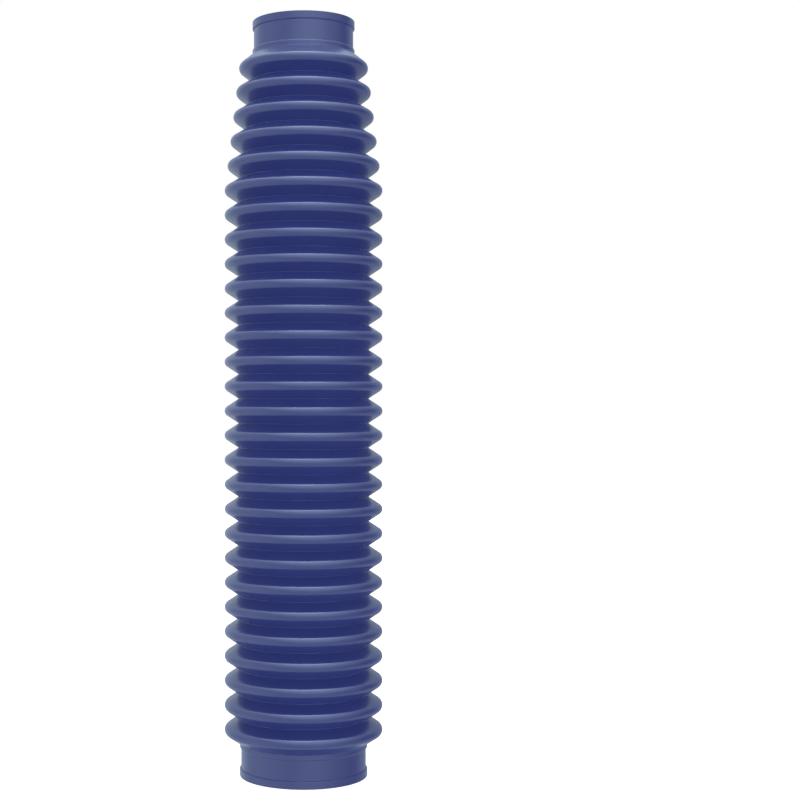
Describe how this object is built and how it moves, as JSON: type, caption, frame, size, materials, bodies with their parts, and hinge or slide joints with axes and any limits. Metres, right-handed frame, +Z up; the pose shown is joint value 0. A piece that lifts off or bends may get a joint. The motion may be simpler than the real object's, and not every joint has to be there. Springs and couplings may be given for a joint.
{
  "type": "fork gaiter",
  "caption": "Pleated rubber tube that covers a motorcycle fork leg, tapered at the top, with a collar for a band clamp at each end.",
  "frame": {"origin": "centre of the lower rim, on the surface that the gaiter stands on", "axes": "+Z up along the gaiter's axis, towards the narrow upper collar; +Y towards the rear, where the breather holes are"},
  "size_m": [0.0792, 0.0792, 0.3756],
  "materials": {
    "rubber": "semi-gloss moulded blue rubber"
  },
  "bodies": {
    "root": {"gaiter": "rubber"}
  },
  "joints": []
}
